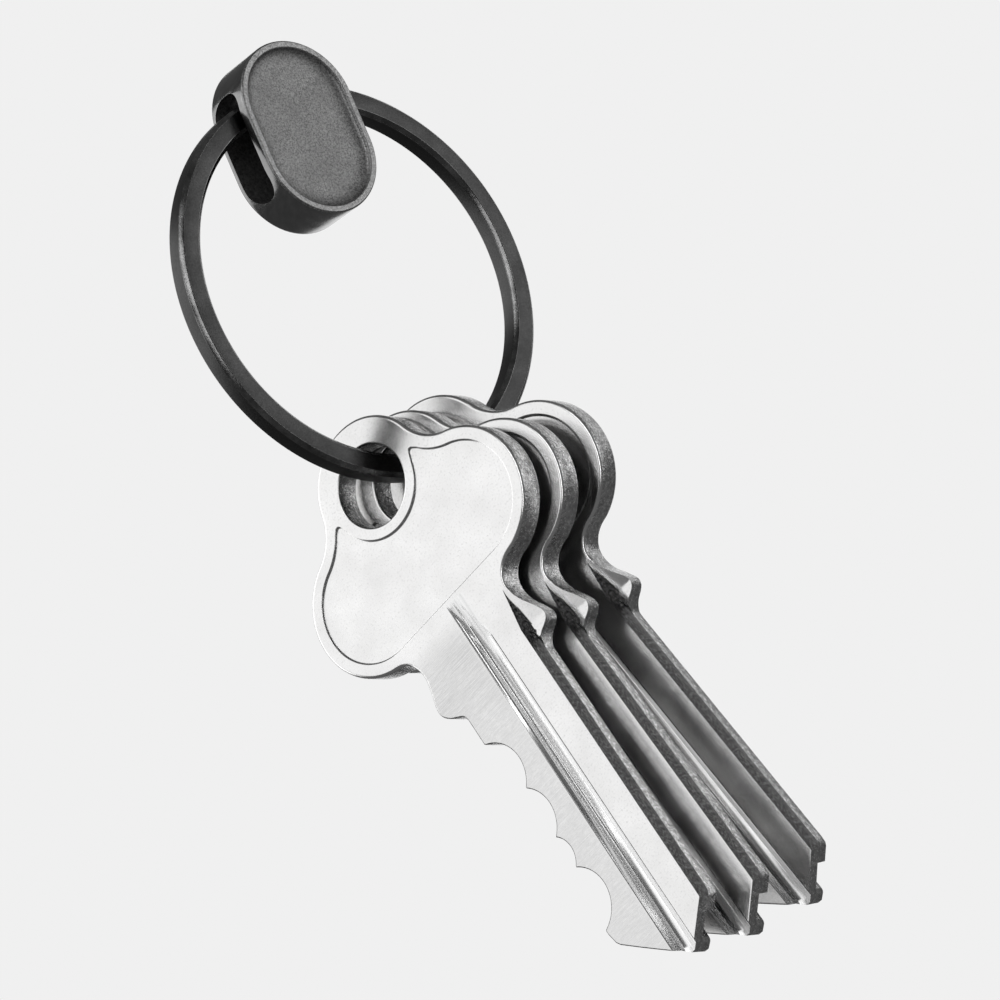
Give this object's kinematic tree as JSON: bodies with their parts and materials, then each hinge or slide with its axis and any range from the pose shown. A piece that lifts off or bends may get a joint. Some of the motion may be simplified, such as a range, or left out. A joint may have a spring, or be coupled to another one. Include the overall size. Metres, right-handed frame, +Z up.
{
  "type": "split key ring",
  "caption": "Sprung square-bar key ring with a slotted lock capsule, carrying house keys that swing on it.",
  "frame": {"origin": "centre of the ring, midway through the bar", "axes": "+X to the right across the ring, +Y to the back, +Z up, opposite to the way the keys hang; the ring leans 22 degrees back from upright"},
  "size_m": [0.034, 0.028, 0.0833],
  "materials": {
    "capsule_steel": "bead-blasted stainless steel with polished sides",
    "pin_steel": "ground steel",
    "ring_steel": "matte spring steel with burnished edges",
    "key_nickel": "nickel plated, satin faces and grainy edges"
  },
  "bodies": {
    "holder": {"capsule_housing": "capsule_steel", "anchor_pin": "pin_steel", "latch_pin": "pin_steel", "ring_anchored_arm": "ring_steel"},
    "free_arm": {"ring_free_arm": "ring_steel"},
    "key_front": {"key_front": "key_nickel"},
    "key_middle": {"key_middle": "key_nickel"},
    "key_rear": {"key_rear": "key_nickel"}
  },
  "joints": [
    {"name": "ring_flex", "type": "hinge", "parent": "holder", "child": "free_arm", "pos_m": [0.01591, -0.00063, 0.00155], "axis": [0, -0.9272, -0.3746], "range_deg": [0, 24], "stiffness_Nm_per_rad": 0.5, "springref_deg": -4.58},
    {"name": "key_front_swing", "type": "hinge", "parent": "free_arm", "child": "key_front", "pos_m": [-0.00433, 0.00644, -0.0158], "axis": [-0.9537, -0.3007, 0], "range_deg": [-95, 95]},
    {"name": "key_middle_swing", "type": "hinge", "parent": "free_arm", "child": "key_middle", "pos_m": [-0.00134, 0.00581, -0.01637], "axis": [-0.9534, -0.3006, -0.0262], "range_deg": [-95, 95]},
    {"name": "key_rear_swing", "type": "hinge", "parent": "free_arm", "child": "key_rear", "pos_m": [0.00218, 0.00524, -0.0158], "axis": [-0.9501, -0.2996, -0.0872], "range_deg": [-95, 95]}
  ]
}
